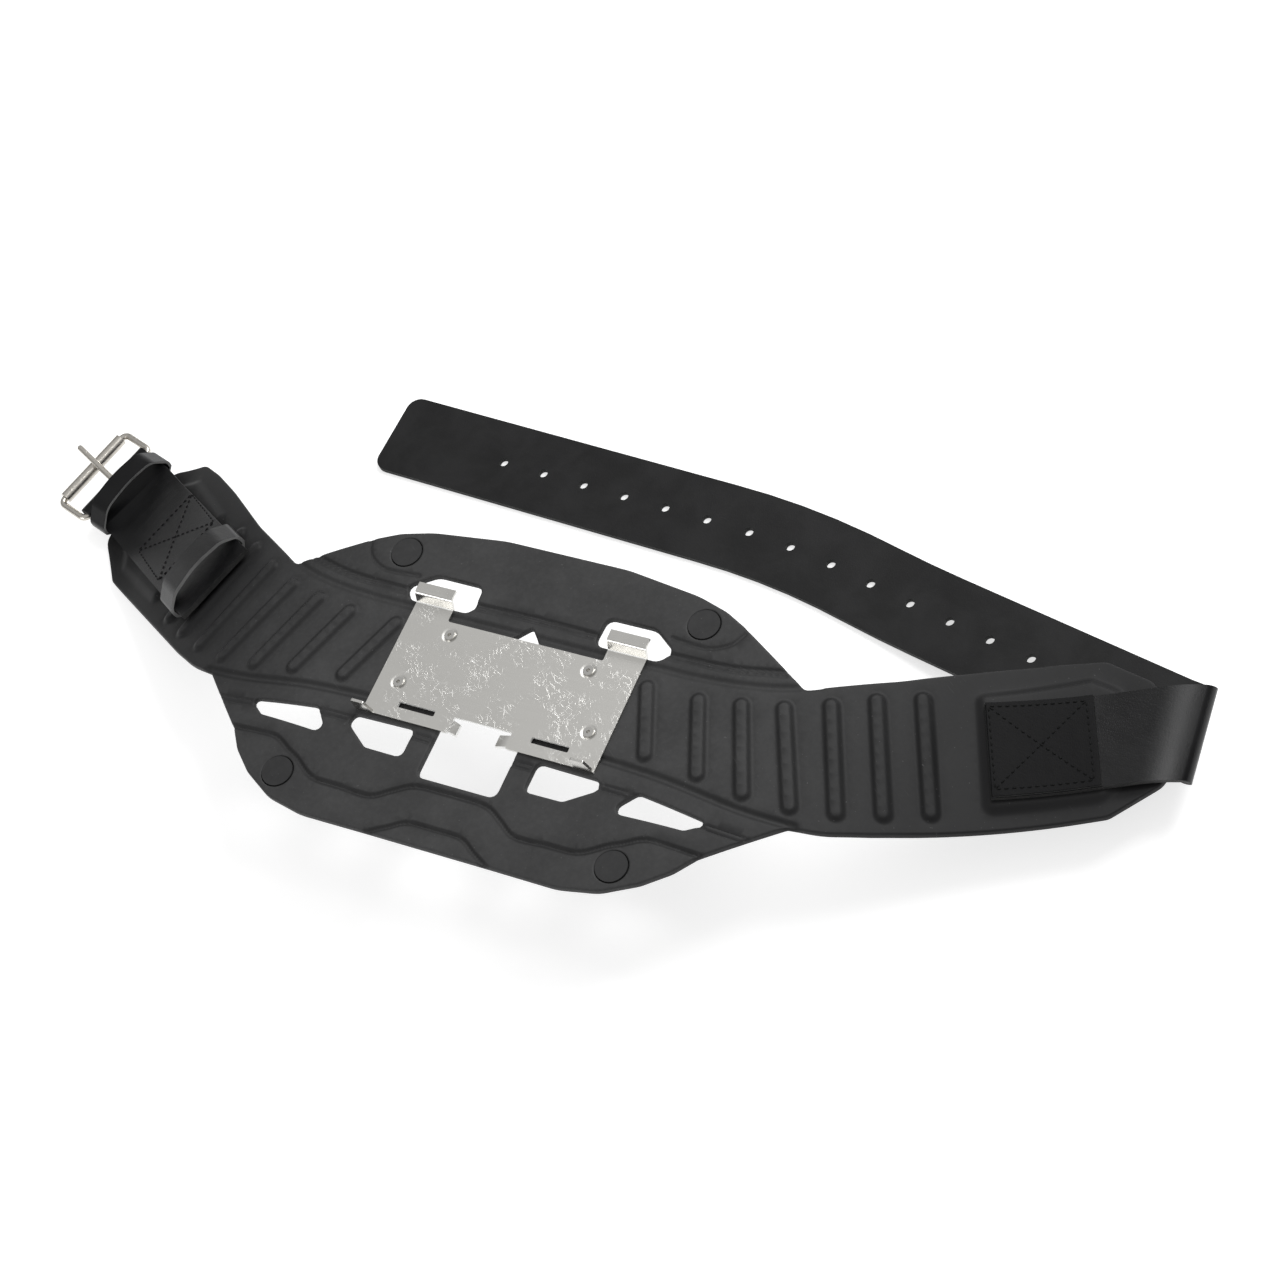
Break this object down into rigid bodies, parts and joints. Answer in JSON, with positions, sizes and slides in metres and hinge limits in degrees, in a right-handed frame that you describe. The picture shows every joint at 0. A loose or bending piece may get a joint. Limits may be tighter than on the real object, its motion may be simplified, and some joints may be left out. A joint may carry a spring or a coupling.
{
  "type": "dive weight belt",
  "caption": "Curved rubber back panel with a riveted steel hook plate, a long punched strap on one wing and a roller buckle with keepers on the other.",
  "frame": {"origin": "centre of the bounding box's underside, on the plane that the arched belt lies on", "axes": "+X along the steel plate and the panel towards the long strap's wing, +Y up the panel towards the plate's hooks, +Z out of the panel's outer face"},
  "size_m": [0.7078, 0.2924, 0.0845],
  "materials": {
    "panel_rubber": "matte",
    "plate_steel": "satin",
    "rivet_steel": "satin",
    "strap_leather": "satin",
    "patch_leather": "matte",
    "buckle_metal": "polished"
  },
  "bodies": {
    "belt": {"back_panel": "panel_rubber", "corner_plug_upper_left": "panel_rubber", "corner_plug_upper_right": "panel_rubber", "corner_plug_lower_left": "panel_rubber", "corner_plug_lower_right": "panel_rubber", "hook_plate": "plate_steel", "plate_rivets": "rivet_steel", "rivet_washers": "rivet_steel", "adjustment_strap": "strap_leather", "strap_patch": "patch_leather", "buckle_strap": "strap_leather", "keeper_lower": "strap_leather"},
    "keeper": {"keeper_upper": "strap_leather"},
    "frame": {"buckle_frame": "buckle_metal"},
    "roller": {"buckle_roller": "buckle_metal"},
    "prong": {"buckle_prong": "buckle_metal"}
  },
  "joints": [
    {"name": "frame_swing", "type": "hinge", "parent": "belt", "child": "frame", "pos_m": [-0.31982, 0.04079, 0.01244], "axis": [0.2924, 0.9563, 0], "range_deg": [-8, 35]},
    {"name": "prong_swing", "type": "hinge", "parent": "frame", "child": "prong", "pos_m": [-0.31982, 0.04079, 0.01244], "axis": [0.2924, 0.9563, 0], "range_deg": [0, 45]},
    {"name": "roller_spin", "type": "hinge", "parent": "frame", "child": "roller", "pos_m": [-0.34134, 0.04737, 0.01244], "axis": [0.2924, 0.9563, 0], "continuous": true},
    {"name": "keeper_slide", "type": "slide", "parent": "belt", "child": "keeper", "axis": [-0.9563, 0.2924, 0], "range_m": [-0.0006, 0.0008]}
  ]
}
